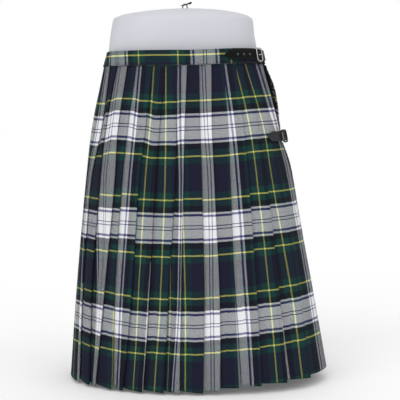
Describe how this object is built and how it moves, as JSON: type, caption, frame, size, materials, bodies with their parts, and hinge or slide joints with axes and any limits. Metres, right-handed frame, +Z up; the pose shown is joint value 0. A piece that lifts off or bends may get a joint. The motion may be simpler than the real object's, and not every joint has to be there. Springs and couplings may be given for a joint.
{
  "type": "pleated kilt on a limbless hip form",
  "caption": "Knee-length tartan kilt with a pleated back, wrap-over aprons, fringed edge and leather straps, standing on a plain white hip form.",
  "frame": {"origin": "centre of the whole thing's box, on the floor that the form stands on", "axes": "+Z up; the pleated back of the kilt faces -Y and the wearer's right side, with the buckles, is +X"},
  "size_m": [0.4654, 0.328, 0.6785],
  "materials": {
    "tartan": "matte wool twill",
    "band": "matte wool twill",
    "yarn": "loose wool yarn",
    "strap": "smooth black leather",
    "buckle": "polished",
    "dark_buckle": "dark satin",
    "form": "soft gloss"
  },
  "bodies": {
    "root": {"pleated_back": "tartan", "over_apron": "tartan", "under_apron": "tartan", "waistband": "band", "apron_waistband": "band", "apron_fringe": "yarn", "upper_strap": "strap", "upper_tab": "strap", "upper_buckle": "buckle", "lower_strap": "strap", "lower_tab": "strap", "lower_buckle": "dark_buckle", "hip_form": "form", "clamp_loop": "buckle", "clamp_lever": "dark_buckle"}
  },
  "joints": []
}
